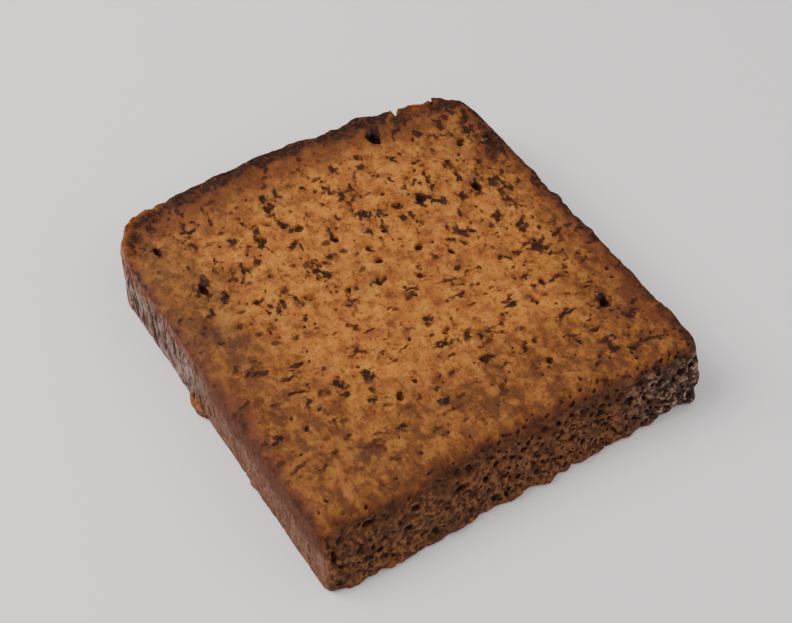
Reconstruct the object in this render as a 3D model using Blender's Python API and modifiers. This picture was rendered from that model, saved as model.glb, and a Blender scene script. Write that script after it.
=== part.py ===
"""A slice of banana bread lying on its cut face.

Units are metres. +Z is up through the slice's thickness, +Y points to the domed top of the loaf
and the origin is the middle of the underside. The slice is one solid: a slab with the loaf's outline,
ragged crust lumps joined to it, crumb and crust relief, and pores and cracks cut into it.
"""
import math
import random

import bmesh
import bpy
from mathutils import Euler, Matrix, Vector, noise

# The loaf's section, measured across the slice.
WIDTH = 0.1084
LOAF_HEIGHT = 0.1129
THICKNESS = 0.018
BASE_Y = -0.052
BASE_DROP = 0.0018
DOME_PEAK_X = -0.014
DOME_FALL = 0.005
SHOULDER_LEFT = 0.014
SHOULDER_RIGHT = 0.011
FOOT_LEFT = 0.0025
FOOT_RIGHT = 0.0042

# How far the cut face on top is set in from the underside, at the loaf's base and at its tin sides.
BASE_LEAN = 0.0058
BASE_LEAN_RIGHT = 0.0024
SIDE_LEAN = 0.0010
LEAN_REACH = 0.020

# The cut face's rim is worn down at the tin's left side and at the loaf's base, but not at the shoulder.
RIM_DROP = 0.0015
RIM_REACH = 0.0045
RIM_END = 0.046

# Relief of each kind of surface.
CRUMB_RELIEF = 0.0005
CRUST_RELIEF = 0.0006
TIN_RELIEF = 0.0003
EDGE_RELIEF = 0.0004
SPONGE_RELIEF = 0.0010
WRINKLE_RELIEF = 0.0004
WRINKLE_PITCH = 0.0045
WRINKLE_SLANT = 1.25
WRINKLE_END = 0.004
EDGE_BAND = 0.004
FINE_SCALE = 420
BROAD_SCALE = 110
WARP_SCALE = 65

# Mesh sizes.
VOXEL = 0.0009
ARC_STEPS = 10
DOME_STEPS = 24
BODY_TRIANGLES = 5600
SMOOTH_ROUNDS = 2
UNDERSIDE_BAND = 0.0006
FOOT_BAND = 0.002

# Pores: counts by face, radii, and the seed of every random draw.
SEED = 41
TOP_PORES = 26
BASE_PORES = 54
UNDER_PORES = 9
PORE_RADIUS = (0.0008, 0.0014)
PORE_MARGIN = 0.009
BASE_PORE_MARGIN = 0.003
PORE_TILT = 0.5
HOLE_SINK = 0.15
REST_SPOT = 0.012

# A distance from the origin that is well clear of the slice.
CLEAR = 0.2

BREAD_COLOUR = (0.42, 0.20, 0.065, 1.0)
BREAD_ROUGHNESS = 0.75

HALF_WIDTH = WIDTH / 2
TOP_Y = BASE_Y + LOAF_HEIGHT

# The holes that stand out on the cut face: x, y, half width, half length, turn in degrees, depth.
LARGE_HOLES = (
    (0.0230, 0.0500, 0.0018, 0.0032, 20, 0.0040),
    (0.0365, 0.0210, 0.0012, 0.0022, 15, 0.0030),
    (0.0500, 0.0325, 0.0013, 0.0028, 25, 0.0030),
    (-0.0107, 0.0330, 0.0018, 0.0013, 0, 0.0016),
    (-0.0046, 0.0252, 0.0013, 0.0012, 0, 0.0022),
    (0.0011, 0.0130, 0.0013, 0.0011, 0, 0.0022),
    (0.0120, 0.0115, 0.0015, 0.0012, 0, 0.0020),
    (0.0182, 0.0057, 0.0010, 0.0016, 10, 0.0022),
    (0.0070, 0.0034, 0.0012, 0.0014, 0, 0.0016),
    (-0.0017, 0.0074, 0.0022, 0.0010, 5, 0.0012),
    (-0.0105, 0.0090, 0.0017, 0.0014, 0, 0.0010),
    (-0.0450, 0.0450, 0.0010, 0.0022, 8, 0.0024),
    (-0.0410, 0.0280, 0.0012, 0.0022, 12, 0.0024),
    (0.0220, 0.0250, 0.0026, 0.0014, 30, 0.0018),
    (0.0060, -0.0257, 0.0022, 0.0010, 8, 0.0016),
    (0.0410, -0.0280, 0.0018, 0.0014, 40, 0.0024),
)

# Voids in the wall of the loaf's base, near its corners: x, z, half width, half height, depth.
BASE_VOIDS = (
    (0.0374, 0.0074, 0.0018, 0.0014, 0.0026),
    (0.0423, 0.0038, 0.0016, 0.0013, 0.0024),
    (0.0390, 0.0127, 0.0020, 0.0009, 0.0020),
    (0.0441, 0.0103, 0.0011, 0.0015, 0.0020),
    (0.0335, 0.0034, 0.0012, 0.0008, 0.0015),
    (-0.0414, 0.0138, 0.0016, 0.0009, 0.0018),
    (-0.0448, 0.0085, 0.0011, 0.0010, 0.0018),
    (-0.0510, 0.0105, 0.0007, 0.0024, 0.0016),
)

# Lumps of crust that stand out of the walls: x, y, z, half sizes along, out and up, turn in degrees.
CRUST_LUMPS = (
    (-0.0538, 0.0095, 0.0010, 0.0046, 0.0023, 0.0018, 84),
    (-0.0540, -0.0175, 0.0008, 0.0013, 0.0012, 0.0010, 90),
    (-0.0210, -0.0515, 0.0010, 0.0072, 0.0022, 0.0016, 6),
    (0.0440, -0.0505, 0.0040, 0.0090, 0.0046, 0.0050, 12),
    (0.0400, 0.0530, 0.0150, 0.0060, 0.0028, 0.0030, -16),
    (-0.0150, 0.0592, 0.0130, 0.0220, 0.0016, 0.0044, 0),
)

# The ragged foot of the base wall: how many crumbs of crust, and their half sizes.
FOOT_CRUMBS = 22
CRUMB_ALONG = (0.0014, 0.0042)
CRUMB_OUT = (0.0008, 0.0018)
CRUMB_UP = (0.0008, 0.0030)
CRUMB_TURN = 0.3

# Cracks cut into the crust's upper rim: x, y, half sizes along, across and down, turn in degrees.
RIM_NICKS = (
    (0.0340, 0.0568, 0.0009, 0.0030, 0.0060, -12),
    (0.0448, 0.0538, 0.0006, 0.0012, 0.0020, -30),
    (0.0538, 0.0040, 0.0012, 0.0010, 0.0030, 10),
    (0.0542, 0.0390, 0.0010, 0.0010, 0.0026, 10),
    (-0.0532, -0.0080, 0.0016, 0.0010, 0.0030, 0),
)


def smoothstep(low, high, value):
    """0 below low, 1 above high and a smooth rise between."""
    share = min(1.0, max(0.0, (value - low) / (high - low)))
    return share * share * (3 - 2 * share)


def arc(centre_x, centre_y, radius, start, end):
    """Points of a corner's arc, angles in degrees."""
    for step in range(ARC_STEPS + 1):
        angle = math.radians(start + (end - start) * step / ARC_STEPS)
        yield (centre_x + radius * math.cos(angle), centre_y + radius * math.sin(angle))


def dome_y(x):
    """The loaf's top crust: a low dome whose peak lies left of the middle."""
    return TOP_Y - DOME_FALL * ((x - DOME_PEAK_X) / HALF_WIDTH) ** 2


def loaf_outline():
    """The slice's outline, anticlockwise from the left foot."""
    points = list(arc(-HALF_WIDTH + FOOT_LEFT, BASE_Y + FOOT_LEFT, FOOT_LEFT, 180, 270))
    right_foot = BASE_Y - BASE_DROP + FOOT_RIGHT
    points += arc(HALF_WIDTH - FOOT_RIGHT, right_foot, FOOT_RIGHT, 270, 360)
    right = HALF_WIDTH - SHOULDER_RIGHT
    points += arc(right, dome_y(right) - SHOULDER_RIGHT, SHOULDER_RIGHT, 0, 80)
    left = -HALF_WIDTH + SHOULDER_LEFT
    for step in range(1, DOME_STEPS):
        x = right + (left - right) * step / DOME_STEPS
        points.append((x, dome_y(x)))
    points += arc(left, dome_y(left) - SHOULDER_LEFT, SHOULDER_LEFT, 100, 180)
    return points


def link(obj, collection):
    collection.objects.link(obj)
    return obj


def slab(collection):
    """The outline as a filled 2D curve, extruded to the slice's thickness and made a mesh."""
    curve = bpy.data.curves.new("loaf_outline", "CURVE")
    curve.dimensions = "2D"
    curve.fill_mode = "BOTH"
    curve.extrude = THICKNESS / 2
    spline = curve.splines.new("POLY")
    outline = loaf_outline()
    spline.points.add(len(outline) - 1)
    for point, (x, y) in zip(spline.points, outline):
        point.co = (x, y, 0.0, 1.0)
    spline.use_cyclic_u = True
    shape = link(bpy.data.objects.new("outline", curve), collection)
    shape.location.z = THICKNESS / 2
    bpy.context.view_layer.update()
    graph = bpy.context.evaluated_depsgraph_get()
    mesh = bpy.data.meshes.new_from_object(shape.evaluated_get(graph))
    mesh.transform(shape.matrix_world)
    bpy.data.objects.remove(shape)
    welded = bmesh.new()
    welded.from_mesh(mesh)
    bmesh.ops.remove_doubles(welded, verts=welded.verts, dist=1e-6)
    bmesh.ops.recalc_face_normals(welded, faces=welded.faces)
    welded.to_mesh(mesh)
    welded.free()
    return link(bpy.data.objects.new("banana_bread_slice", mesh), collection)


def ellipsoid(name, centre, half_sizes, turn, detail, collection, tilt=0.0):
    """A faceted ellipsoid as a helper: turn is about Z and tilt about X, in radians."""
    shape = bmesh.new()
    bmesh.ops.create_icosphere(shape, subdivisions=detail, radius=1.0)
    place = Matrix.Translation(centre) @ Euler((tilt, 0.0, turn)).to_matrix().to_4x4()
    bmesh.ops.transform(shape, matrix=place @ Matrix.Diagonal((*half_sizes, 1.0)), verts=shape.verts)
    mesh = bpy.data.meshes.new(name)
    shape.to_mesh(mesh)
    shape.free()
    helper = link(bpy.data.objects.new(name, mesh), collection)
    helper.hide_render = True
    helper.display_type = "WIRE"
    return helper


def crust_lumps(collection):
    for number, (x, y, z, along, out, up, turn) in enumerate(CRUST_LUMPS):
        centre = Vector((x, y, max(z, up * 0.7)))
        ellipsoid(f"lump_{number}", centre, (along, out, up), math.radians(turn), 3, collection)


def foot_crumbs(draw, collection):
    """Small lumps along the foot of the loaf's base, which leans down to its right."""
    for number in range(FOOT_CRUMBS):
        share = (number + draw.uniform(0.2, 0.8)) / FOOT_CRUMBS
        x = -HALF_WIDTH + FOOT_RIGHT + share * (WIDTH - 2 * FOOT_RIGHT)
        y = BASE_Y - share * BASE_DROP
        sizes = (draw.uniform(*CRUMB_ALONG), draw.uniform(*CRUMB_OUT), draw.uniform(*CRUMB_UP))
        turn = draw.uniform(-CRUMB_TURN, CRUMB_TURN)
        ellipsoid(f"crumb_{number}", Vector((x, y, 0.7 * sizes[2])), sizes, turn, 2, collection)


def rim_nicks(collection):
    for number, (x, y, along, across, down, turn) in enumerate(RIM_NICKS):
        centre = Vector((x, y, THICKNESS))
        ellipsoid(f"nick_{number}", centre, (along, across, down), math.radians(turn), 2, collection)


def on_surface(body, start, direction):
    """The first point of the body's surface met from start."""
    found, point, _, _ = body.ray_cast(Vector(start), Vector(direction))
    return point if found else None


def large_holes(body, collection):
    for number, (x, y, wide, long, turn, depth) in enumerate(LARGE_HOLES):
        centre = on_surface(body, (x, y, CLEAR), (0, 0, -1)) - Vector((0, 0, HOLE_SINK * depth))
        ellipsoid(f"hole_{number}", centre, (wide, long, depth), math.radians(turn), 1, collection)


def face_pores(body, draw, collection):
    """Small pores spread over the cut face and the underside, clear of the spot it rests on."""
    for number in range(TOP_PORES + UNDER_PORES):
        radius = draw.uniform(*PORE_RADIUS)
        x = draw.uniform(-HALF_WIDTH + PORE_MARGIN, HALF_WIDTH - PORE_MARGIN)
        y = draw.uniform(BASE_Y + BASE_LEAN + PORE_MARGIN, TOP_Y - DOME_FALL - PORE_MARGIN)
        turn = draw.uniform(0, math.pi)
        sizes = (radius, radius * draw.uniform(1.0, 1.7), radius * draw.uniform(1.0, 1.6))
        under = number >= TOP_PORES
        if under and math.hypot(x, y) < REST_SPOT:
            continue
        side = -1 if under else 1
        centre = on_surface(body, (x, y, side * CLEAR), (0, 0, -side))
        ellipsoid(f"pore_{number}", centre, sizes, turn, 1, collection)


def base_voids(body, collection):
    for number, (x, z, wide, high, depth) in enumerate(BASE_VOIDS):
        centre = on_surface(body, (x, -CLEAR, z), (0, 1, 0))
        ellipsoid(f"void_{number}", centre, (wide, depth, high), 0.0, 2, collection)


def base_pores(body, draw, collection):
    """The spongy wall of the loaf's base is full of small open pores."""
    for number in range(BASE_PORES):
        radius = draw.uniform(*PORE_RADIUS)
        x = draw.uniform(-HALF_WIDTH + BASE_PORE_MARGIN, HALF_WIDTH - BASE_PORE_MARGIN)
        z = draw.uniform(BASE_PORE_MARGIN, THICKNESS - BASE_PORE_MARGIN)
        sizes = (radius * draw.uniform(1.0, 1.6), radius, radius)
        tilt = draw.uniform(-PORE_TILT, PORE_TILT)
        centre = on_surface(body, (x, -CLEAR, z), (0, 1, 0))
        ellipsoid(f"base_pore_{number}", centre, sizes, 0.0, 1, collection, tilt)


def apply_modifiers(obj):
    graph = bpy.context.evaluated_depsgraph_get()
    mesh = bpy.data.meshes.new_from_object(obj.evaluated_get(graph))
    obj.modifiers.clear()
    obj.data = mesh


def boolean(obj, collection, operation):
    """Joins or cuts a whole collection of helpers in one step, then removes them."""
    modifier = obj.modifiers.new(operation.title(), "BOOLEAN")
    modifier.operation = operation
    modifier.solver = "MANIFOLD"
    modifier.operand_type = "COLLECTION"
    modifier.collection = collection
    apply_modifiers(obj)
    for helper in list(collection.objects):
        bpy.data.objects.remove(helper)


def remesh(obj):
    """An even mesh to carve, with its corners a little rounded."""
    voxel = obj.modifiers.new("Voxel", "REMESH")
    voxel.mode = "VOXEL"
    voxel.voxel_size = VOXEL
    rounding = obj.modifiers.new("Rounding", "SMOOTH")
    rounding.iterations = SMOOTH_ROUNDS
    apply_modifiers(obj)


def wall_lean(x, y, z):
    """How far the walls move inwards at height z: the loaf's base leans in, the tin sides hardly do."""
    up = z / THICKNESS
    lean = BASE_LEAN + (BASE_LEAN_RIGHT - BASE_LEAN) * smoothstep(0.2, 0.9, x / HALF_WIDTH)
    near_base = 1.0 - smoothstep(BASE_Y, BASE_Y + LEAN_REACH, y)
    sideways = -math.copysign(SIDE_LEAN * up * smoothstep(0.75, 1.0, abs(x) / HALF_WIDTH), x)
    return (sideways, lean * up ** 1.5 * near_base)


def base_line(x):
    """The foot of the loaf's base, which drops to its right."""
    return BASE_Y - BASE_DROP * (x + HALF_WIDTH) / WIDTH


def rim_drop(x, y, z):
    """How far the worn rim of the cut face lies below its middle."""
    to_rim = min(x + HALF_WIDTH, y - base_line(x))
    worn = 1.0 - smoothstep(0.0, RIM_REACH, to_rim)
    at_shoulder = smoothstep(RIM_END - RIM_REACH, RIM_END, y)
    return RIM_DROP * worn * worn * (1.0 - at_shoulder) * smoothstep(0.5, 1.0, z / THICKNESS)


def relief(point, normal):
    """Height of the crumb's and crust's relief at a point, along its normal."""
    x, y, z = point
    fine = noise.fractal(point * FINE_SCALE, 1.0, 2.0, 3)
    broad = noise.noise(point * BROAD_SCALE)
    if normal.z > 0.6:
        to_edge = min(HALF_WIDTH - abs(x), y - BASE_Y - BASE_LEAN, dome_y(x) - y)
        at_edge = 1.0 - smoothstep(0.0, EDGE_BAND, to_edge)
        return CRUMB_RELIEF * fine + (CRUMB_RELIEF + EDGE_RELIEF * at_edge) * broad
    if normal.y < -0.5:
        return SPONGE_RELIEF * (0.7 * fine + 0.5 * broad)
    if normal.x < -0.5:
        warp = WRINKLE_PITCH * noise.noise(Vector((y, z, 0.0)) * WARP_SCALE)
        across = z * math.cos(WRINKLE_SLANT) - y * math.sin(WRINKLE_SLANT) + warp
        strength = smoothstep(WRINKLE_END, 2 * LEAN_REACH, y) * (0.5 + broad)
        ridge = strength * math.sin(2 * math.pi * across / WRINKLE_PITCH)
        return WRINKLE_RELIEF * ridge + TIN_RELIEF * (0.5 * fine + broad)
    if normal.x > 0.5:
        return TIN_RELIEF * (fine + broad)
    return CRUST_RELIEF * (0.8 * fine + broad)


def carve(obj):
    """Leans the walls and adds the relief. The underside stays flat, as the slice rests on it."""
    mesh = obj.data
    normals = [vertex.normal.copy() for vertex in mesh.vertices]
    for vertex, normal in zip(mesh.vertices, normals):
        point = vertex.co.copy()
        sideways, inwards = wall_lean(*point)
        if point.z < UNDERSIDE_BAND:
            vertex.co.z = 0.0
            continue
        fade = smoothstep(UNDERSIDE_BAND, FOOT_BAND, point.z)
        moved = Vector((sideways, inwards, -rim_drop(*point)))
        vertex.co = point + moved + normal * relief(point, normal) * fade
        vertex.co.z = max(vertex.co.z, 0.0)


def thin_out(obj, triangles):
    """Fewer faces, kept where the relief needs them."""
    obj.data.calc_loop_triangles()
    decimate = obj.modifiers.new("Decimate", "DECIMATE")
    decimate.ratio = triangles / len(obj.data.loop_triangles)
    decimate.use_collapse_triangulate = True
    apply_modifiers(obj)


def centre_on_origin(obj):
    """Moves the mesh so that the middle of its underside is the origin."""
    corners = [Vector(corner) for corner in obj.bound_box]
    low = Vector(map(min, zip(*corners)))
    high = Vector(map(max, zip(*corners)))
    obj.data.transform(Matrix.Translation((-(low.x + high.x) / 2, -(low.y + high.y) / 2, -low.z)))


def bread_material():
    material = bpy.data.materials.new("banana_bread")
    material.use_nodes = True
    shader = material.node_tree.nodes["Principled BSDF"]
    shader.inputs["Base Color"].default_value = BREAD_COLOUR
    shader.inputs["Roughness"].default_value = BREAD_ROUGHNESS
    shader.inputs["Metallic"].default_value = 0.0
    return material


def main():
    for obj in list(bpy.data.objects):
        bpy.data.objects.remove(obj)
    draw = random.Random(SEED)
    scene = bpy.context.scene.collection
    bread_parts = bpy.data.collections.new("banana_bread")
    helpers = bpy.data.collections.new("helpers")
    scene.children.link(bread_parts)
    scene.children.link(helpers)

    bread = slab(bread_parts)
    crust_lumps(helpers)
    foot_crumbs(draw, helpers)
    boolean(bread, helpers, "UNION")
    remesh(bread)
    carve(bread)
    thin_out(bread, BODY_TRIANGLES)
    rim_nicks(helpers)
    large_holes(bread, helpers)
    base_voids(bread, helpers)
    face_pores(bread, draw, helpers)
    base_pores(bread, draw, helpers)
    boolean(bread, helpers, "DIFFERENCE")
    bread.data.update()
    bpy.context.view_layer.update()
    centre_on_origin(bread)
    bread.data.materials.clear()
    bread.data.materials.append(bread_material())


main()
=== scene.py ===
"""The looks of a slice of banana bread lying on its cut face.

Lengths in the mesh are metres. The surface's fields and its shader work in millimetres.
"""

import itertools
import math

import bmesh
import bpy
import numpy as np
from mathutils import Matrix, Vector, kdtree


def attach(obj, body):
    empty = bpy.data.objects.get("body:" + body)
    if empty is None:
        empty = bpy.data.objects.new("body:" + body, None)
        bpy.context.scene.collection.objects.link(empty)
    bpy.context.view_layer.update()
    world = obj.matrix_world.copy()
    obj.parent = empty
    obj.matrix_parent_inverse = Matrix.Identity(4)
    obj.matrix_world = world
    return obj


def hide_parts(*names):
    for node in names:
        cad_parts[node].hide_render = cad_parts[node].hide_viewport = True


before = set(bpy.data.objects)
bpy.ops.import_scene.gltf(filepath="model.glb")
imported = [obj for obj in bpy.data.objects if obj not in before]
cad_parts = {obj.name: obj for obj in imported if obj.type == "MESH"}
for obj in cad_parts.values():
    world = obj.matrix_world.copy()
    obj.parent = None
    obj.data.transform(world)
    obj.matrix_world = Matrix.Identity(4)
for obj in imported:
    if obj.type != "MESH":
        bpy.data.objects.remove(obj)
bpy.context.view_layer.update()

NODE = "banana_bread_slice"
SEED = 7
MM = 1000.0

# The mesh of the slice.
VOXEL = 0.00037
WELD = 1e-6
SMOOTH_ROUNDS = 3
TRIANGLES = 195000
THICK_MM = 18.0

# Rounds of averaging: for the way the surface faces, and for the even surface that shows what is hollow.
FACING_ROUNDS = 6
EVEN_ROUNDS = 16

# The depth of the pits in mm, before they are weakened where the surface is smoother.
PORE_DEPTH = 0.6
SPONGE_DEPTH = 0.95
WRINKLE_DEPTH = 1.0
DOME_DEPTH = 0.35

# The wrinkles of the tin sides lean by this many degrees, and their scale makes them long.
WRINKLE_LEAN = 20
WRINKLE_SCALE = (1.0, 1.0, 0.3)

# Multipliers that stir the bits of a cell's number, and the greatest number that comes of them.
STIR = (374761393, 668265263, 2246822519, 3266489917)
GREATEST = 0xFFFFFFFF

# The surface of the bread.
CRUMB_ROUGHNESS = 0.68
GLOSSY_TIN_ROUGHNESS = 0.42
TIN_ROUGHNESS = 0.8
ORANGE_ROUGHNESS = 0.34
MOIST_ROUGHNESS = 0.42
SPECULAR = 0.2
BUMP_STRENGTH = 0.65
BUMP_HEIGHT = 0.0004

# The colours of the bread as they look on a screen, from 0 to 255.
PALETTE = {
    "ochre crumb": (164, 98, 40),
    "golden crumb": (182, 112, 46),
    "pale mottle": (195, 132, 60),
    "brown mottle": (112, 62, 26),
    "brown smudge": (106, 62, 33),
    "pale smudge": (199, 138, 60),
    "dark grain": (96, 50, 20),
    # Pale grains of the crumb, partly painted glints where it is moist.
    "pale grain and glint": (222, 166, 92),
    "near brown": (90, 51, 28),
    "far brown": (100, 63, 35),
    "red crust": (102, 50, 24),
    "black fleck": (34, 11, 3),
    "brown fleck": (60, 25, 14),
    "speck": (74, 36, 14),
    "fleck edge": (92, 46, 18),
    # Painted shade of the small pores in the crumb.
    "pore": (48, 18, 4),
    "mark edge": (80, 40, 18),
    "mark": (30, 9, 5),
    "patch": (50, 30, 26),
    "dark crust": (32, 12, 5),
    "brown crust": (94, 46, 22),
    "sponge ridge": (130, 82, 46),
    # Painted sheen on the ridges at the right end of the base wall.
    "painted ridge sheen": (160, 128, 108),
    "sponge": (72, 36, 16),
    "sponge cloud": (70, 38, 22),
    # Painted shade inside the pores of the base wall, the deeper ones darker.
    "painted sponge pore shade": (38, 12, 3),
    "painted deep pore shade": (14, 3, 1),
    # Painted shade of the large voids at the right end of the base wall.
    "painted torn gap shade": (22, 6, 3),
    "sponge top": (50, 21, 10),
    "sponge foot": (104, 46, 24),
    "tin": (92, 60, 48),
    # Painted sheen of the tin sides, where their gloss catches the light.
    "painted tin sheen": (142, 108, 92),
    # Painted shade in the creases and pits of the tin sides.
    "crease_shade": (30, 11, 6),
    "plain tin": (110, 66, 42),
    "tin edge": (108, 58, 38),
    "plain edge": (88, 45, 27),
    "edge spot": (50, 24, 14),
    "tin grain": (62, 33, 22),
    "tin foot": (84, 42, 26),
    "dark dome": (52, 27, 16),
    "dome": (98, 56, 32),
    "dome grain": (48, 22, 12),
    "burnt orange": (92, 42, 12),
    "orange": (150, 76, 12),
    # Painted shade inside the open pores of the cut faces.
    "hollow_shade": (40, 15, 4),
}

# The floor, the lights and the world round the slice.
FLOOR_SIZE = 4.0
FLOOR_DROP = 0.0001
FLOOR_COLOUR = (0.93, 0.90, 0.88, 1.0)
FLOOR_ROUGHNESS = 0.6
LIGHTS = (
    {"name": "key", "place": (-0.55, 0.45, 0.75), "size": 0.7, "power": 11.0, "colour": (1.0, 0.97, 0.94)},
    {"name": "fill", "place": (0.5, -0.7, 0.7), "size": 1.0, "power": 3.0, "colour": (1.0, 0.98, 0.96)},
)
WORLD_COLOUR = (0.95, 0.95, 1.0, 1.0)
WORLD_STRENGTH = 0.55

# The photograph's own camera, worked out from the marks round the slice: millimetres for the lens and
# its sensor, degrees for the turns, and metres from the marks' origin for its place.
LENS = 64.69
SENSOR = 36.0
PITCH = 51.92
ROLL = 2.548
HEADING = 35.39
CAMERA_PLACE = (-0.1294, -0.1788, 0.2932)

# The solid's middle lies this far from the point that the marks below are measured from, in mm.
MARKS_ORIGIN = np.array((0.81, -3.17))

# The slice's outline in mm from the marks' origin: the two tin sides, the base and the arch of the dome,
# which drops by so much over its span to either side of its middle.
LEFT_SIDE = -53.5
RIGHT_SIDE = 54.0
BASE_SIDE = -47.0
DOME_TOP = 60.5
DOME_MIDDLE = -14.0
DOME_DROP = 5.0
DOME_SPAN = 53.5

# Flecks of banana and dark holes that stand out on the cut face, in mm from the marks' origin:
# x, y, half length, half width, turn of the length from the x axis in degrees, strength.
MARKS = (
    (23.9, 51.0, 2.9, 1.7, 70, 1.0),
    (46.4, 39.3, 1.6, 1.2, 40, 0.9),
    (50.8, 33.0, 2.4, 1.1, 100, 1.0),
    (36.8, 20.8, 2.0, 0.9, 75, 1.0),
    (-13.6, 46.8, 1.4, 0.9, 60, 0.8),
    (-5.5, 47.4, 1.3, 0.5, 100, 0.7),
    (-2.8, 44.5, 1.2, 0.6, 110, 0.8),
    (-34.9, 46.5, 1.1, 0.7, 10, 0.9),
    (-45.1, 44.9, 2.0, 0.7, 95, 1.0),
    (-41.0, 49.0, 1.8, 0.4, 100, 0.6),
    (-22.9, 46.6, 1.8, 0.35, 80, 0.7),
    (-22.6, 42.2, 1.5, 0.4, 100, 0.7),
    (-27.4, 37.4, 2.0, 1.2, 110, 0.7),
    (-21.8, 34.9, 1.1, 0.8, 30, 0.7),
    (4.5, 36.8, 2.0, 1.3, 80, 0.9),
    (-14.9, 28.6, 1.7, 1.1, 20, 0.8),
    (6.0, 28.0, 2.5, 1.5, 115, 1.0),
    (14.1, 26.8, 0.8, 0.6, 0, 0.8),
    (18.9, 28.2, 1.4, 0.5, 150, 0.7),
    (22.4, 25.2, 2.6, 1.2, 140, 1.0),
    (26.4, 26.3, 1.2, 0.6, 60, 0.8),
    (3.3, 23.0, 1.6, 0.6, 0, 0.7),
    (-40.8, 28.8, 2.1, 1.1, 75, 1.0),
    (-37.8, 22.8, 1.7, 1.1, 60, 1.0),
    (-28.2, 13.0, 3.2, 0.7, 50, 0.8),
    (-23.3, 13.2, 2.0, 0.7, 75, 0.9),
    (-24.5, 6.8, 1.5, 0.5, 80, 0.9),
    (-14.3, 18.2, 2.1, 0.7, 120, 0.9),
    (-11.8, 4.9, 2.2, 1.5, 60, 0.5),
    (17.0, 18.0, 1.2, 0.6, 60, 0.8),
    (26.4, 8.6, 1.0, 0.6, 120, 0.9),
    (-44.3, -0.1, 1.2, 0.7, 10, 1.0),
    (29.5, -10.8, 1.9, 0.7, 30, 0.8),
    (-28.0, -14.3, 1.5, 1.1, 150, 1.0),
    (-20.8, -15.8, 1.9, 1.2, 80, 1.0),
    (-37.0, -15.1, 1.6, 0.9, 60, 0.8),
    (0.1, -17.3, 4.2, 1.1, 170, 0.7),
    (10.8, -20.0, 1.7, 1.4, 30, 0.6),
    (18.3, -18.3, 2.0, 1.2, 20, 0.4),
    (-48.0, -20.0, 1.8, 0.8, 30, 0.9),
    (-23.6, -22.0, 1.3, 0.6, 150, 1.0),
    (-20.4, -23.2, 1.1, 0.5, 170, 0.9),
    (-34.5, -22.6, 1.2, 0.8, 80, 0.7),
    (-14.3, -27.0, 1.0, 0.6, 40, 0.7),
    (6.0, -26.6, 2.2, 0.8, 5, 1.0),
    (15.8, -28.9, 1.4, 0.9, 60, 0.7),
    (40.8, -27.6, 3.0, 1.7, 70, 0.9),
    (-21.8, -32.0, 1.3, 0.8, 20, 1.0),
    (-9.9, -31.4, 1.5, 0.9, 170, 1.0),
    (-15.5, -36.8, 1.1, 0.6, 30, 0.8),
    (28.3, -34.5, 1.5, 0.9, 100, 0.7),
    (43.9, -34.5, 1.6, 1.0, 20, 0.8),
    (34.0, -40.5, 1.6, 0.8, 160, 0.7),
)

# Soft dark patches of the crumb: x, y, radius, strength.
PATCHES = (
    (-46.8, 14.9, 3.4, 1.0),
    (-42.0, 9.5, 3.0, 0.6),
    (-43.5, 4.5, 3.0, 0.45),
    (-33.6, -33.9, 2.6, 0.6),
    (-47.5, 24.0, 3.0, 0.4),
    (38.0, 44.0, 6.0, 0.4),
    (26.0, 52.0, 4.0, 0.3),
)


def smoothstep(low, high, value):
    share = np.clip((value - low) / (high - low), 0.0, 1.0)
    return share * share * (3 - 2 * share)


def hashed(cells, seed):
    """A repeatable number from 0 to 1 for each cell of a grid."""
    first, second, third, fourth = (np.uint32(number) for number in STIR)
    x, y, z = (cells[..., axis].astype(np.int64).astype(np.uint32) for axis in range(3))
    mixed = x * first + y * second + z * third
    mixed = mixed + np.uint32((seed * int(fourth)) & GREATEST)
    mixed = (mixed ^ (mixed >> np.uint32(15))) * third
    mixed = (mixed ^ (mixed >> np.uint32(13))) * fourth
    mixed = mixed ^ (mixed >> np.uint32(16))
    return mixed / float(GREATEST)


def noise(points, size, seed, octaves=1):
    """Smooth noise from -1 to 1 whose bumps are about size wide."""
    total = np.zeros(len(points))
    weight = 1.0
    span = 0.0
    for octave in range(octaves):
        grid = points / size * 2 ** octave + 0.37 * octave
        cell = np.floor(grid)
        share = grid - cell
        share = share * share * (3 - 2 * share)
        value = np.zeros(len(points))
        for corner in itertools.product((0, 1), repeat=3):
            corner = np.array(corner)
            part = np.prod(np.where(corner, share, 1 - share), axis=1)
            value += part * hashed(cell + corner, seed + 17 * octave)
        total += weight * (2 * value - 1)
        span += weight
        weight *= 0.5
    return total / span


def pits(points, pitch, share, sizes, seed):
    """1 at the middle of each pit and 0 outside.

    The pits stand on a jittered grid. A share of its cells have one, and sizes are the least and the
    greatest radius in cells.
    """
    grid = points / pitch
    base = np.floor(grid)
    field = np.zeros(len(points))
    for offset in itertools.product((-1, 0, 1), repeat=3):
        cell = base + offset
        centre = cell + np.stack([hashed(cell, seed + axis) for axis in range(3)], axis=1)
        radius = sizes[0] + (sizes[1] - sizes[0]) * hashed(cell, seed + 3)
        radius = np.where(hashed(cell, seed + 4) < share, radius, 1e-6)
        away = np.linalg.norm(grid - centre, axis=1)
        field = np.maximum(field, np.clip(1 - away / radius, 0.0, 1.0))
    return field


def coordinates(mesh):
    flat = np.empty(len(mesh.vertices) * 3)
    mesh.vertices.foreach_get("co", flat)
    return flat.reshape(-1, 3)


def normals(mesh):
    flat = np.empty(len(mesh.vertices) * 3)
    mesh.vertex_normals.foreach_get("vector", flat)
    return flat.reshape(-1, 3)


def edge_pairs(mesh):
    flat = np.empty(len(mesh.edges) * 2, np.int64)
    mesh.edges.foreach_get("vertices", flat)
    return flat.reshape(-1, 2)


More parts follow.
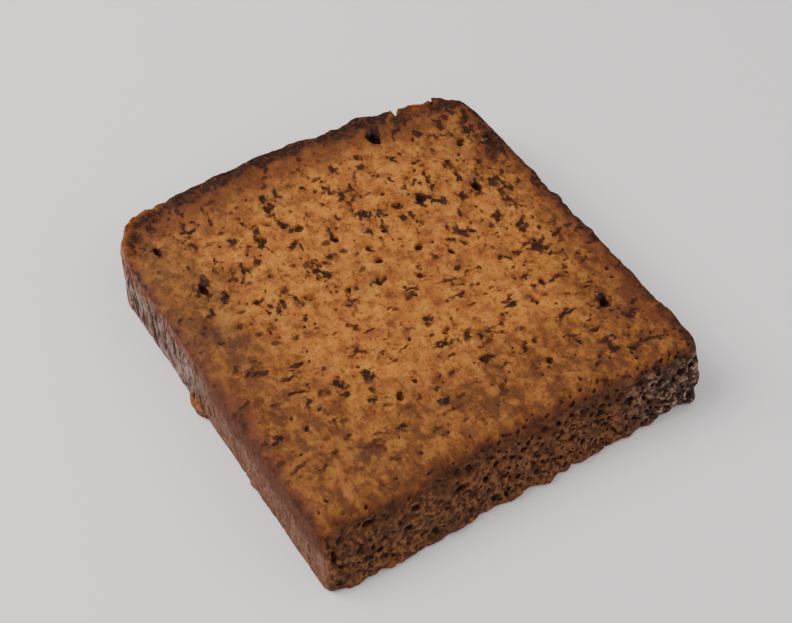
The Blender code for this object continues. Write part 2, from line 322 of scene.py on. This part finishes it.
def averaged(values, edges, rounds):
    """Values of the vertices, averaged with their neighbours again and again."""
    count = np.bincount(edges.ravel(), minlength=len(values))[:, None]
    for _ in range(rounds):
        total = np.zeros_like(values)
        np.add.at(total, edges[:, 0], values[edges[:, 1]])
        np.add.at(total, edges[:, 1], values[edges[:, 0]])
        values = 0.5 * values + 0.5 * total / count
    return values


def applied(obj):
    """Makes the result of the object's modifiers its mesh."""
    graph = bpy.context.evaluated_depsgraph_get()
    mesh = bpy.data.meshes.new_from_object(obj.evaluated_get(graph))
    obj.modifiers.clear()
    obj.data = mesh
    return obj


def tree_of(points):
    tree = kdtree.KDTree(len(points))
    for index, point in enumerate(points):
        tree.insert(point, index)
    tree.balance()
    return tree


def dense_copy():
    """The CAD solid's copy with an even, fine mesh."""
    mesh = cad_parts[NODE].data.copy()
    welded = bmesh.new()
    welded.from_mesh(mesh)
    bmesh.ops.remove_doubles(welded, verts=welded.verts, dist=WELD)
    welded.to_mesh(mesh)
    welded.free()
    bread = bpy.data.objects.new("banana_bread", mesh)
    bpy.context.scene.collection.objects.link(bread)
    voxel = bread.modifiers.new("Voxel", "REMESH")
    voxel.mode = "VOXEL"
    voxel.voxel_size = VOXEL
    soften = bread.modifiers.new("Soften", "SMOOTH")
    soften.iterations = SMOOTH_ROUNDS
    return applied(bread)


def on_slice(points):
    """How far each point lies across and ahead of the marks' origin, in mm."""
    return (points[:, :2] - MARKS_ORIGIN).T


def inset(points):
    """About how far inside the slice's outline each point is, in mm."""
    x, y = on_slice(points)
    dome = DOME_TOP - DOME_DROP * ((x - DOME_MIDDLE) / DOME_SPAN) ** 2
    return np.minimum.reduce((x - LEFT_SIDE, RIGHT_SIDE - x, dome - y, y - BASE_SIDE))


def zones(points, facing):
    """Where each kind of surface is, as weights, with the share of the height and the mm to the rim.

    A vertex of a cut face takes the weights of the wall that is closest to it.
    """
    z = points[:, 2]
    flat = smoothstep(0.45, 0.8, np.abs(facing[:, 2]))
    well_inside = inset(points) > 6.0
    top = np.maximum(flat * (facing[:, 2] > 0), well_inside) * smoothstep(11.0, 14.0, z)
    under = flat * (facing[:, 2] < 0) * smoothstep(3.0, 2.0, z)
    side = 1 - np.maximum(top, under)
    along = facing[:, :2] / np.maximum(np.linalg.norm(facing[:, :2], axis=1), 1e-6)[:, None]
    walls = {
        "base": smoothstep(0.45, 0.75, -along[:, 1]),
        "left": smoothstep(0.6, 0.85, -along[:, 0]),
        "right": smoothstep(0.6, 0.85, along[:, 0]),
        "dome": smoothstep(0.3, 0.6, along[:, 1]),
    }
    outer = (side > 0.5) & (inset(points) < 5.0)
    rim = np.zeros(len(points))
    for face, level in ((top > 0.5, z > 12), (under > 0.5, z < 5)):
        source = np.flatnonzero(outer & level)
        tree = tree_of(points[source])
        found = [tree.find(point) for point in points[face]]
        rim[face] = [distance for _, _, distance in found]
        closest = source[[index for _, index, _ in found]]
        for weights in walls.values():
            weights[face] = weights[closest]
    tin = walls["left"] + walls["right"]
    high = z / THICK_MM
    return {"high": high, "top": top, "under": under, "side": side, "rim": rim, "tin": tin, **walls}


def rotation(degrees):
    """Turns points about X, as a matrix for points @ matrix."""
    angle = math.radians(degrees)
    return np.array(Matrix.Rotation(angle, 3, "X")).T


def relief(points, zone):
    """Height in mm of the crumb, the crust and the walls' roughness over the solid."""
    x, y = on_slice(points)
    fine = noise(points, 0.9, SEED, 2)
    lumps = noise(points, 3.2, SEED + 1, 2)

    # The base wall: sponge, open to the right and closed to the left, and rough at both ends.
    bent = points * (0.72, 1, 1) + 0.35 * noise(points, 1.1, SEED + 13)[:, None]
    open_end = 0.3 + 0.7 * smoothstep(-22.0, 8.0, x)
    holes = smoothstep(0.0, 0.75, pits(bent, 1.3, 0.85, (0.28, 0.54), SEED + 5))
    holes = -SPONGE_DEPTH * open_end * holes
    sponge = holes + (0.25 * open_end + 0.12 * fine + 0.25 * noise(points, 3.5, SEED + 6))
    rough_ends = np.maximum(smoothstep(26.0, 42.0, x), 0.8 * smoothstep(-34.0, -44.0, x))
    sponge += rough_ends * (1.1 * noise(points, 2.8, SEED + 7, 2))

    # The cut face on top: crumb with open pores, crags of crust along the rim, and holes of the base wall.
    ragged = points + 0.4 * noise(points, 0.9, SEED + 12)[:, None]
    pores = PORE_DEPTH * smoothstep(0.0, 0.8, pits(ragged, 2.3, 0.42, (0.10, 0.40), SEED + 2))
    crumb = 0.11 * fine + 0.18 * lumps - pores
    crags = 0.22 * noise(points, 1.5, SEED + 3, 2) + 0.15 * noise(points, 4.0, SEED + 4)
    near_rim = 1 - smoothstep(0.5, 4.0, zone["rim"])
    near_rim = near_rim * (0.4 + 0.6 * np.maximum(zone["dome"], zone["base"]))
    at_edge = 1 - smoothstep(1.5, 4.0, zone["rim"])
    top = crumb + near_rim * crags + 0.9 * holes * zone["base"] * at_edge

    # The tin sides: slanting wrinkles, shallower towards the base.
    slant = (points @ rotation(WRINKLE_LEAN)) * WRINKLE_SCALE
    wrinkled = 0.4 + 0.6 * smoothstep(-2.0, 14.0, y)
    wrinkles = smoothstep(0.0, 0.7, pits(slant, 1.8, 0.5, (0.2, 0.44), SEED + 8))
    tin = -WRINKLE_DEPTH * wrinkled * wrinkles
    tin += 0.16 * lumps + 0.06 * fine + 0.12 * wrinkled * noise(slant, 1.6, SEED + 14)

    # The baked dome, and the knobbly foot of all the walls.
    baked = 0.12 * fine + 0.25 * noise(points, 2.2, SEED + 9, 2)
    baked -= DOME_DEPTH * smoothstep(0.0, 0.7, pits(points, 2.6, 0.4, (0.15, 0.4), SEED + 10))
    wall = zone["base"] * sponge + zone["tin"] * tin + zone["dome"] * baked
    foot = (1 - smoothstep(0.5, 3.0, points[:, 2])) * (0.4 + 0.6 * zone["base"])
    wall += foot * (0.1 + 0.25 * noise(points, 1.5, SEED + 11, 2) + 0.35 * noise(points, 4.3, SEED + 15))

    under = 0.08 * fine - 0.08 - pores
    return zone["top"] * top + zone["under"] * under + zone["side"] * wall


def raised(points, outward, zone):
    """The points moved by the relief. The walls' foot stays on its level, and nothing sinks below 0."""
    moved = points + outward * relief(points, zone)[:, None]
    lift = smoothstep(0.0, 0.8, points[:, 2])
    level = points[:, 2] + (moved[:, 2] - points[:, 2]) * lift
    moved[:, 2] = np.maximum(np.where(zone["under"] > 0.5, moved[:, 2], level), 0.0)
    return moved


def marks(points):
    """Strength of the named flecks over the cut face, before the shader makes their edges ragged."""
    field = np.zeros(len(points))
    x, y = on_slice(points)
    for at_x, at_y, long, wide, turn, strength in MARKS:
        cosine = math.cos(math.radians(turn))
        sine = math.sin(math.radians(turn))
        along = ((x - at_x) * cosine + (y - at_y) * sine) / long
        across = ((y - at_y) * cosine - (x - at_x) * sine) / wide
        field = np.maximum(field, strength * np.exp(-0.7 * (along ** 2 + across ** 2)))
    return field


def patches(points):
    """Strength of the soft dark patches over the cut face."""
    field = np.zeros(len(points))
    x, y = on_slice(points)
    for at_x, at_y, radius, strength in PATCHES:
        away = ((x - at_x) ** 2 + (y - at_y) ** 2) / radius ** 2
        field = np.maximum(field, strength * np.exp(-away))
    return field


def orange_crust(points, zone):
    """Crust that baked orange: the flap at the left foot, the left shoulder and a lump at the dome."""
    x, y = on_slice(points)
    z = points[:, 2]
    flap = np.exp(-((x + 56) / 1.8) ** 2 - ((y - 9.5) / 5.0) ** 2) * (z < 4)
    at_top = smoothstep(9.0, 15.0, z)
    at_edge = 1 - smoothstep(0.6, 2.6, zone["rim"])
    shoulder = smoothstep(-33.0, -40.0, x) * smoothstep(47.0, 51.0, y) * at_top * at_edge
    far_lump = np.exp(-((x - 40.0) / 5.0) ** 2 - ((y - 54.5) / 2.6) ** 2) * at_top
    return np.clip(np.maximum.reduce((1.2 * flap, shoulder, 0.8 * far_lump)), 0, 1)


def store(mesh, name, values):
    """Keeps three values of each vertex for the shader."""
    layer = mesh.attributes.new(name, "FLOAT_COLOR", "POINT")
    rows = np.ones((len(values), 4))
    rows[:, :3] = values
    layer.data.foreach_set("color", rows.ravel())


def thin_out(bread, where):
    """Fewer triangles, with every one kept outside the vertices that where names."""
    group = bread.vertex_groups.new(name="thin")
    group.add(np.flatnonzero(where).tolist(), 1.0, "REPLACE")
    bread.data.calc_loop_triangles()
    thin = bread.modifiers.new("Thin", "DECIMATE")
    thin.ratio = TRIANGLES / len(bread.data.loop_triangles)
    thin.vertex_group = group.name
    applied(bread)


def build_bread():
    """The slice with its relief, and the fields that its shader reads, three to a name."""
    bread = dense_copy()
    mesh = bread.data
    edges = edge_pairs(mesh)
    start = coordinates(mesh) * MM
    facing = averaged(normals(mesh), edges, FACING_ROUNDS)
    facing /= np.linalg.norm(facing, axis=1)[:, None]
    zone = zones(start, facing)
    moved = raised(start, normals(mesh), zone)
    mesh.vertices.foreach_set("co", (moved / MM).ravel())
    mesh.update()

    even = averaged(moved, edges, EVEN_ROUNDS)
    depth = np.einsum("ij,ij->i", even - moved, facing)
    named = marks(moved) * zone["top"]
    soft = patches(moved) * zone["top"]
    fields = {
        "rims": (zone["rim"], zone["high"], depth),
        "walls": (zone["base"], zone["tin"], zone["dome"]),
        "spots": (named, soft, orange_crust(moved, zone)),
        "sides": (zone["side"], zone["side"], zone["side"]),
    }

    # The walls that the photograph shows keep every triangle.
    thin_out(bread, zone["side"] * np.maximum(zone["base"], zone["left"]) < 0.3)
    final = coordinates(bread.data) * MM
    tree = tree_of(moved)
    index = np.array([tree.find(point)[1] for point in final])
    for name, values in fields.items():
        store(bread.data, name, np.stack(values, axis=1)[index])
    bread.data.shade_smooth()
    return bread


class Nodes:
    """Short calls that add nodes to a material and return their outputs."""

    def __init__(self, tree):
        self.tree = tree

    def add(self, kind, settings=None, output=0, **inputs):
        """An input is given by its name, or as i0, i1 and so on."""
        node = self.tree.nodes.new(kind)
        for name, value in (settings or {}).items():
            setattr(node, name, value)
        for name, value in inputs.items():
            key = int(name[1:]) if name[0] == "i" and name[1:].isdigit() else name
            self.put(node.inputs[key], value)
        return node.outputs[output]

    def put(self, socket, value):
        if isinstance(value, bpy.types.NodeSocket):
            self.tree.links.new(value, socket)
        else:
            socket.default_value = value

    def math(self, operation, a, b):
        return self.add("ShaderNodeMath", {"operation": operation}, i0=a, i1=b)

    def times(self, a, b):
        return self.math("MULTIPLY", a, b)

    def plus(self, total, value, factor):
        """total + value * factor."""
        return self.add("ShaderNodeMath", {"operation": "MULTIPLY_ADD"}, i0=value, i1=factor, i2=total)

    def step(self, value, low, high):
        """0 at low and 1 at high, with a smooth rise or fall between."""
        node = self.tree.nodes.new("ShaderNodeMapRange")
        node.interpolation_type = "SMOOTHSTEP"
        flip = low > high
        self.put(node.inputs["Value"], value)
        node.inputs["From Min"].default_value = min(low, high)
        node.inputs["From Max"].default_value = max(low, high)
        node.inputs["To Min"].default_value = 1.0 if flip else 0.0
        node.inputs["To Max"].default_value = 0.0 if flip else 1.0
        return node.outputs[0]

    def mix(self, share, a, b):
        """From the colour a at share 0 to the colour b at share 1."""
        return self.add("ShaderNodeMix", {"data_type": "RGBA"}, 2, i0=share, i6=a, i7=b)

    def blend(self, share, a, b):
        """From the number a at share 0 to the number b at share 1."""
        return self.add("ShaderNodeMix", {"data_type": "FLOAT"}, 0, i0=share, i2=a, i3=b)

    def layer(self, under, over, where, strength):
        """The colour under, painted with the colour over where the mask says."""
        return self.mix(self.times(where, strength), under, over)

    def noise(self, place, size, detail=2.0, roughness=0.5):
        settings = {"Scale": 1.0 / size, "Detail": detail, "Roughness": roughness}
        return self.add("ShaderNodeTexNoise", Vector=place, **settings)

    def centred_noise(self, place, size, detail, roughness):
        return self.math("SUBTRACT", self.noise(place, size, detail, roughness), 0.5)

    def cells(self, place, size):
        """The distance to the nearest cell's middle, and that cell's own chance from 0 to 1."""
        node = self.tree.nodes.new("ShaderNodeTexVoronoi")
        self.put(node.inputs["Vector"], place)
        node.inputs["Scale"].default_value = 1.0 / size
        return node.outputs["Distance"], self.parts(node.outputs["Color"])[0]

    def parts(self, colour):
        node = self.tree.nodes.new("ShaderNodeSeparateColor")
        self.tree.links.new(colour, node.inputs[0])
        return node.outputs[0], node.outputs[1], node.outputs[2]

    def split(self, vector):
        node = self.tree.nodes.new("ShaderNodeSeparateXYZ")
        self.tree.links.new(vector, node.inputs[0])
        return node.outputs[0], node.outputs[1], node.outputs[2]

    def stored(self, name):
        """The three values that the mesh keeps under a name."""
        node = self.tree.nodes.new("ShaderNodeAttribute")
        node.attribute_name = name
        return self.parts(node.outputs["Color"])

    def place(self, source, turn=(0, 0, 0), scale=(1, 1, 1)):
        node = self.tree.nodes.new("ShaderNodeMapping")
        self.put(node.inputs["Vector"], source)
        node.inputs["Rotation"].default_value = [math.radians(angle) for angle in turn]
        node.inputs["Scale"].default_value = scale
        return node.outputs[0]

    def warp(self, source, size, amount):
        """Places moved by noise, so that shapes drawn on them are ragged."""
        shift = self.tree.nodes.new("ShaderNodeTexNoise")
        self.put(shift.inputs["Vector"], source)
        shift.inputs["Scale"].default_value = 1.0 / size
        shift.inputs["Detail"].default_value = 2.0
        middle = (0.5, 0.5, 0.5)
        subtract = {"operation": "SUBTRACT"}
        centred = self.add("ShaderNodeVectorMath", subtract, i0=shift.outputs["Color"], i1=middle)
        scaled = self.tree.nodes.new("ShaderNodeVectorMath")
        scaled.operation = "SCALE"
        self.put(scaled.inputs[0], centred)
        scaled.inputs["Scale"].default_value = amount
        return self.add("ShaderNodeVectorMath", {"operation": "ADD"}, i0=source, i1=scaled.outputs[0])


def shade(name):
    """A colour of the palette, in the numbers that a shader works in."""
    def linear(value):
        value /= 255
        return value / 12.92 if value <= 0.04045 else ((value + 0.055) / 1.055) ** 2.4
    return (*(linear(value) for value in PALETTE[name]), 1.0)


class Surface:
    """What the mesh keeps for the shader, and the noises and masks that several layers share."""

    def __init__(self, n):
        self.here = n.place(n.add("ShaderNodeTexCoord", output="Object"), scale=(MM, MM, MM))
        self.across, self.ahead, _ = n.split(self.here)
        self.rim, self.high, depth = n.stored("rims")
        self.base, self.tin, self.dome = n.stored("walls")
        self.mark, self.patch, self.orange = n.stored("spots")
        self.side, _, _ = n.stored("sides")
        self.wide = n.noise(self.here, 12.0, 3.0)
        self.mottle = n.noise(n.place(self.here, scale=(1.0, 0.7, 1.0)), 2.4, 3.0, 0.6)
        self.fine = n.noise(self.here, 0.9, 2.5, 0.6)
        self.grain = n.noise(self.here, 0.4, 2.0, 0.6)
        self.hollow = n.plus(depth, n.math("SUBTRACT", self.fine, 0.5), 0.3)
        self.lower_half = n.step(n.plus(self.ahead, self.wide, 20.0), 22.0, 2.0)


def crumb_ground(n, s):
    """Ochre in the middle of the cut face, browner towards its rim with browning and painted shade,
    mottled and finely grained.
    """
    ground = n.mix(n.step(s.wide, 0.35, 0.65), shade("ochre crumb"), shade("golden crumb"))
    ground = n.layer(ground, shade("pale mottle"), n.step(s.mottle, 0.48, 0.34), 0.6)
    ground = n.layer(ground, shade("brown mottle"), n.step(s.mottle, 0.52, 0.68), 0.75)
    smudge = n.noise(n.warp(s.here, 4.0, 2.0), 3.6, 1.5, 0.5)
    ground = n.layer(ground, shade("brown smudge"), n.step(smudge, 0.51, 0.67), 0.48)
    ground = n.layer(ground, shade("pale smudge"), n.step(smudge, 0.46, 0.34), 0.4)
    ground = n.layer(ground, shade("dark grain"), n.step(s.fine, 0.52, 0.74), 0.45)
    # Pale grains, partly painted glints on the same grain peaks that the moist gloss uses.
    ground = n.layer(ground, shade("pale grain and glint"), n.step(s.grain, 0.60, 0.76), 0.14)

    # Browning with painted shade towards the rim: it reaches further in towards the base and on the left,
    # and less far on the right.
    inward = n.plus(s.rim, n.noise(s.here, 9.0, 3.0), 22.0)
    inward = n.plus(inward, n.step(s.ahead, 4.0, -36.0), -11.0)
    inward = n.plus(inward, n.step(s.across, -20.0, -50.0), -7.0)
    inward = n.plus(inward, n.step(s.across, 0.0, 24.0), 3.5)
    blotchy = n.blend(n.step(s.mottle, 0.42, 0.60), 0.55, 1.0)
    rim_brown_and_shade = n.times(n.step(inward, 37.0, 11.0), blotchy)
    brown = n.mix(n.step(s.ahead, -6.0, 22.0), shade("near brown"), shade("far brown"))
    return n.layer(ground, brown, rim_brown_and_shade, 0.88)


def crust_masks(n, s):
    """Where the rim of the cut faces is red-brown, and where it is dark. Both are widest at the dome."""
    ragged = n.plus(s.rim, n.centred_noise(s.here, 4.2, 3.5, 0.65), 8.0)
    width = n.plus(0.5, s.dome, 3.6)
    width = n.plus(width, s.base, 0.1)
    width = n.plus(width, n.times(n.step(s.across, 20.0, 45.0), s.tin), 1.1)
    width = n.plus(width, n.times(s.lower_half, s.tin), 0.5)
    red = n.step(n.plus(ragged, width, -2.2), 4.0, -1.2)
    dark = n.step(n.math("SUBTRACT", ragged, width), 1.8, -1.5)
    return red, dark


def streaks(n, place, turn, stretch, size, crowd):
    """Noise whose peaks are ragged flecks, longer one way than the other and larger where they crowd."""
    field = n.noise(n.place(place, (0, 0, turn), stretch), size, 2.0, 0.55)
    return n.plus(field, crowd, 0.05)


def pore_shade_dots(n, place, size):
    """Small round pores of many sizes, as a mask for their painted shade: 1 inside them."""
    away, chance = n.cells(place, size)
    return n.step(n.plus(away, chance, 0.50), 0.34, 0.20)


def add_flecks(n, s, crumb):
    """Flecks of banana and the painted shade of pores: scattered ones first, then the named ones and the
    soft patches.
    """
    bent = n.warp(s.here, 3.0, 2.2)
    crowd = n.step(n.noise(s.here, 8.0, 2.0), 0.36, 0.60)
    crowd = n.times(crowd, n.blend(n.step(s.ahead, -34.0, -8.0), 0.3, 1.0))
    crowd = n.plus(crowd, n.step(s.across, 24.0, 44.0), 1.0)
    near = n.times(n.step(s.ahead, -20.0, -44.0), n.step(s.across, 36.0, 10.0))

    # The flecks mostly stand upright towards the dome and lie level towards the base.
    upright = streaks(n, bent, -10, (1.0, 0.62, 0.8), 2.6, crowd)
    level = streaks(n, bent, 18, (0.62, 1.0, 0.8), 2.6, crowd)
    flecks = n.blend(n.step(n.plus(s.ahead, s.wide, 40.0), 10.0, 30.0), level, upright)
    specks = streaks(n, s.here, 5, (1.0, 0.75, 1.0), 1.5, crowd)
    pores = pore_shade_dots(n, n.place(bent, (0, 0, 25), (0.75, 1.2, 1.0)), 3.9)
    browner = n.step(n.noise(s.here, 2.5, 1.0), 0.42, 0.58)
    heart = n.mix(browner, shade("black fleck"), shade("brown fleck"))
    crumb = n.layer(crumb, shade("speck"), n.step(specks, 0.60, 0.76), 0.55)
    crumb = n.layer(crumb, shade("fleck edge"), n.step(flecks, 0.575, 0.69), 0.65)
    crumb = n.layer(crumb, heart, n.step(flecks, 0.635, 0.71), n.blend(near, 0.92, 0.5))
    # Painted shade: small dark pores drawn only in colour, with no hollow in the mesh behind them.
    crumb = n.layer(crumb, shade("pore"), pores, n.blend(near, 0.8, 0.4))

    torn = n.plus(s.mark, n.centred_noise(s.here, 1.3, 3.0, 0.65), 2.2)
    crumb = n.layer(crumb, shade("mark edge"), n.step(torn, 0.05, 0.42), 0.4)
    crumb = n.layer(crumb, shade("mark"), n.step(torn, 0.30, 0.66), 0.94)
    return n.layer(crumb, shade("patch"), s.patch, 0.66)


def sponge_wall(n, s):
    """The wall of the loaf's base: lighter ridges round pores darkened with painted shade; at its right
    end, ridges made pale with painted sheen and torn gaps made dark with painted shade.
    """
    # Painted sheen: the ridges turn pale towards the right end.
    right_end = n.step(s.across, 26.0, 46.0)
    ridge = n.mix(right_end, shade("sponge ridge"), shade("painted ridge sheen"))
    wall = n.mix(n.step(n.noise(s.here, 1.3, 3.0, 0.6), 0.40, 0.62), shade("sponge"), ridge)
    wall = n.layer(wall, shade("sponge cloud"), n.step(n.noise(s.here, 7.0, 2.0), 0.45, 0.7), 0.6)
    # Painted shade in the pores, darker where the mesh is more hollow.
    wall = n.mix(n.step(s.hollow, 0.0, 0.16), wall, shade("painted sponge pore shade"))
    wall = n.mix(n.step(s.hollow, 0.16, 0.36), wall, shade("painted deep pore shade"))
    # Painted shade: dark voids drawn by noise at the right end, not by the mesh's hollows.
    torn = n.step(n.noise(n.warp(s.here, 2.0, 1.2), 2.4, 2.5, 0.6), 0.46, 0.54)
    wall = n.layer(wall, shade("painted torn gap shade"), n.times(torn, right_end), 0.85)
    wall = n.layer(wall, shade("sponge top"), n.step(s.high, 0.70, 0.92), 0.5)
    return n.layer(wall, shade("sponge foot"), n.step(s.high, 0.10, 0.02), 0.6)


def tin_wall(n, s):
    """The colour of the tin sides, and where they are rough.

    They have a pale painted sheen, slanting creases and pits darkened with painted shade, and a dark
    upper edge that the painted sheen leaves out. The half towards the base is plainer. So is all of the
    right side, which the photograph hides.
    """
    slant = n.place(s.here, (WRINKLE_LEAN, 0, 0), WRINKLE_SCALE)
    # Painted sheen: a pale cloud of colour over the tin sides, partly covered again on the plainer half
    # and at the upper edge.
    cloud = n.step(n.noise(n.warp(slant, 2.0, 0.8), 1.8, 4.0, 0.6), 0.36, 0.62)
    wall = n.mix(cloud, shade("tin"), shade("painted tin sheen"))
    right_side = n.step(s.across, -10.0, 10.0)
    plain = n.blend(right_side, s.lower_half, 0.6)
    # Painted shade in slanting creases drawn by noise, and in the pits where the mesh is hollow.
    creases = n.step(n.noise(n.warp(slant, 1.6, 0.7), 1.5, 2.0, 0.5), 0.54, 0.61)
    creased = n.times(creases, n.blend(plain, 1.0, 0.45))
    pitted = n.times(n.step(s.hollow, -0.04, 0.08), n.blend(right_side, 1.0, 0.5))
    creased = n.math("MAXIMUM", creased, pitted)
    wall = n.layer(wall, shade("crease_shade"), creased, 0.92)
    wall = n.layer(wall, shade("plain tin"), plain, 0.5)
    edge = n.mix(plain, shade("tin edge"), shade("plain edge"))
    spotted = n.step(n.noise(s.here, 1.7, 3.0, 0.65), 0.46, 0.62)
    edge = n.layer(edge, shade("edge spot"), spotted, 0.7)
    lifted = n.plus(n.plus(s.high, plain, 0.12), n.noise(s.here, 4.0, 3.0), 0.3)
    wall = n.layer(wall, edge, n.step(lifted, 0.76, 0.98), 0.9)
    wall = n.layer(wall, shade("tin grain"), n.step(s.fine, 0.50, 0.68), 0.4)
    wall = n.layer(wall, shade("tin foot"), n.step(s.high, 0.12, 0.02), 0.6)
    return wall, n.math("MAXIMUM", creased, plain)


def baked_dome(n, s):
    """The baked top of the loaf."""
    baked = n.mix(n.step(n.noise(s.here, 3.4, 4.0, 0.6), 0.32, 0.68), shade("dark dome"), shade("dome"))
    return n.layer(baked, shade("dome grain"), n.step(s.fine, 0.52, 0.70), 0.5)


def bread_material():
    material = bpy.data.materials.new("banana_bread")
    material.use_nodes = True
    tree = material.node_tree
    shader = tree.nodes["Principled BSDF"]
    n = Nodes(tree)
    s = Surface(n)

    # The cut faces: the crust's red part lies under the flecks and its dark line over them.
    red, dark = crust_masks(n, s)
    cut = n.layer(crumb_ground(n, s), shade("red crust"), red, 0.66)
    cut = add_flecks(n, s, cut)
    spots = n.step(n.noise(s.here, 1.3, 3.0, 0.65), 0.46, 0.68)
    crust = n.mix(spots, shade("dark crust"), shade("brown crust"))
    cut = n.layer(cut, crust, dark, n.blend(s.lower_half, 0.92, 0.74))

    # The walls.
    wall, rough_tin = tin_wall(n, s)
    skin = n.mix(s.base, baked_dome(n, s), sponge_wall(n, s))
    skin = n.mix(s.tin, skin, wall)
    colour = n.mix(s.side, cut, skin)

    # Orange crust, and painted shade inside the open pores, where the mesh is hollow.
    glow = n.blend(n.step(s.fine, 0.35, 0.65), 0.5, 1.0)
    bright = n.step(n.noise(s.here, 1.2, 3.0, 0.6), 0.40, 0.60)
    burnt = n.mix(bright, shade("burnt orange"), shade("orange"))
    colour = n.layer(colour, burnt, s.orange, glow)
    hollow_shade = n.times(n.step(s.hollow, 0.06, 0.26), n.math("SUBTRACT", 1.0, s.side))
    colour = n.layer(colour, shade("hollow_shade"), hollow_shade, 0.88)
    n.put(shader.inputs["Base Color"], colour)

    rough = n.blend(rough_tin, GLOSSY_TIN_ROUGHNESS, TIN_ROUGHNESS)
    rough = n.blend(n.times(s.side, s.tin), CRUMB_ROUGHNESS, rough)
    rough = n.blend(n.times(s.orange, n.step(s.high, 0.3, 0.7)), rough, ORANGE_ROUGHNESS)
    rough = n.blend(n.step(s.grain, 0.66, 0.78), rough, MOIST_ROUGHNESS)
    n.put(shader.inputs["Roughness"], rough)
    shader.inputs["Specular IOR Level"].default_value = SPECULAR

    bump = tree.nodes.new("ShaderNodeBump")
    bump.inputs["Strength"].default_value = BUMP_STRENGTH
    bump.inputs["Distance"].default_value = BUMP_HEIGHT
    n.put(bump.inputs["Height"], n.plus(s.fine, s.grain, 0.3))
    n.put(shader.inputs["Normal"], bump.outputs[0])
    return material


def plain_material(name, colour, roughness):
    material = bpy.data.materials.new(name)
    material.use_nodes = True
    shader = material.node_tree.nodes["Principled BSDF"]
    shader.inputs["Base Color"].default_value = colour
    shader.inputs["Roughness"].default_value = roughness
    return material


def add_floor():
    bpy.ops.mesh.primitive_plane_add(size=FLOOR_SIZE, location=(0, 0, -FLOOR_DROP))
    floor = bpy.context.object
    floor.name = "floor"
    floor.data.materials.append(plain_material("floor", FLOOR_COLOUR, FLOOR_ROUGHNESS))


def area_light(name, place, size, power, colour):
    """A square light that faces the origin."""
    data = bpy.data.lights.new(name, "AREA")
    data.size = size
    data.energy = power
    data.color = colour
    light = bpy.data.objects.new(name, data)
    light.location = place
    light.rotation_euler = (-Vector(place)).to_track_quat("-Z", "Y").to_euler()
    bpy.context.scene.collection.objects.link(light)


def add_lights():
    for light in LIGHTS:
        area_light(**light)
    world = bpy.data.worlds.new("studio")
    world.use_nodes = True
    background = world.node_tree.nodes["Background"]
    background.inputs["Color"].default_value = WORLD_COLOUR
    background.inputs["Strength"].default_value = WORLD_STRENGTH
    bpy.context.scene.world = world


def add_camera():
    data = bpy.data.cameras.new("camera")
    data.sensor_width = SENSOR
    data.lens = LENS
    camera = bpy.data.objects.new("camera", data)
    pitch, roll, heading = (math.radians(angle) for angle in (PITCH, ROLL, HEADING))
    level = Vector((math.sin(heading), math.cos(heading), 0))
    right = Vector((math.cos(heading), -math.sin(heading), 0))
    forward = level * math.cos(pitch) - Vector((0, 0, math.sin(pitch)))
    up = right.cross(forward)
    across = right * math.cos(roll) + up * math.sin(roll)
    upward = up * math.cos(roll) - right * math.sin(roll)
    turn = Matrix((across, upward, -forward)).transposed().to_4x4()
    place = Vector(np.array(CAMERA_PLACE) + (*(MARKS_ORIGIN / MM), 0))
    camera.matrix_world = Matrix.Translation(place) @ turn
    bpy.context.scene.collection.objects.link(camera)
    bpy.context.scene.camera = camera


bread = build_bread()
bread.data.materials.clear()
bread.data.materials.append(bread_material())
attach(bread, "root")
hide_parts(NODE)
add_floor()
add_lights()
add_camera()
